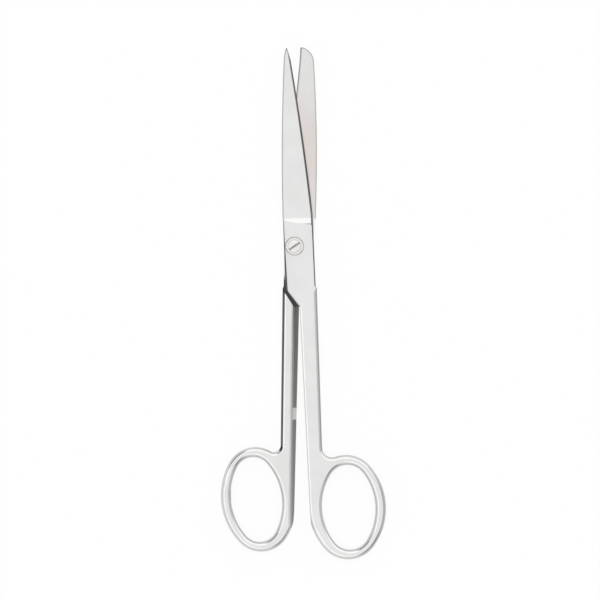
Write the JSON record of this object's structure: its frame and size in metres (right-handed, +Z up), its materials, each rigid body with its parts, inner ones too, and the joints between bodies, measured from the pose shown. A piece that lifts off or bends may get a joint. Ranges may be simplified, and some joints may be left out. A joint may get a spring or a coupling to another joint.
{
  "type": "operating scissors",
  "caption": "Straight steel operating scissors with a sharp and a blunt tip, slotted pivot screw and finger rings, lying slightly open.",
  "frame": {"origin": "point of the pivot axis on the plane that the scissors lie on", "axes": "+Y from the pivot towards the tips along the middle of the opening, +Z up out of the flat side, which is the pivot axis, +X to the right with the tips ahead"},
  "size_m": [0.0534, 0.1655, 0.0047],
  "materials": {
    "upper_half_steel": "satin-polished stainless steel, bright edges",
    "lower_half_steel": "satin-polished stainless steel, bright edges",
    "screw_steel": "turned and polished stainless steel"
  },
  "bodies": {
    "lower": {"lower_half": "lower_half_steel", "pivot_screw": "screw_steel"},
    "upper": {"upper_half": "upper_half_steel"}
  },
  "joints": [
    {"name": "blade_pivot", "type": "hinge", "parent": "lower", "child": "upper", "pos_m": [0, 0, 0.00225], "axis": [0, 0, 1], "range_deg": [-3.9, 110]}
  ]
}
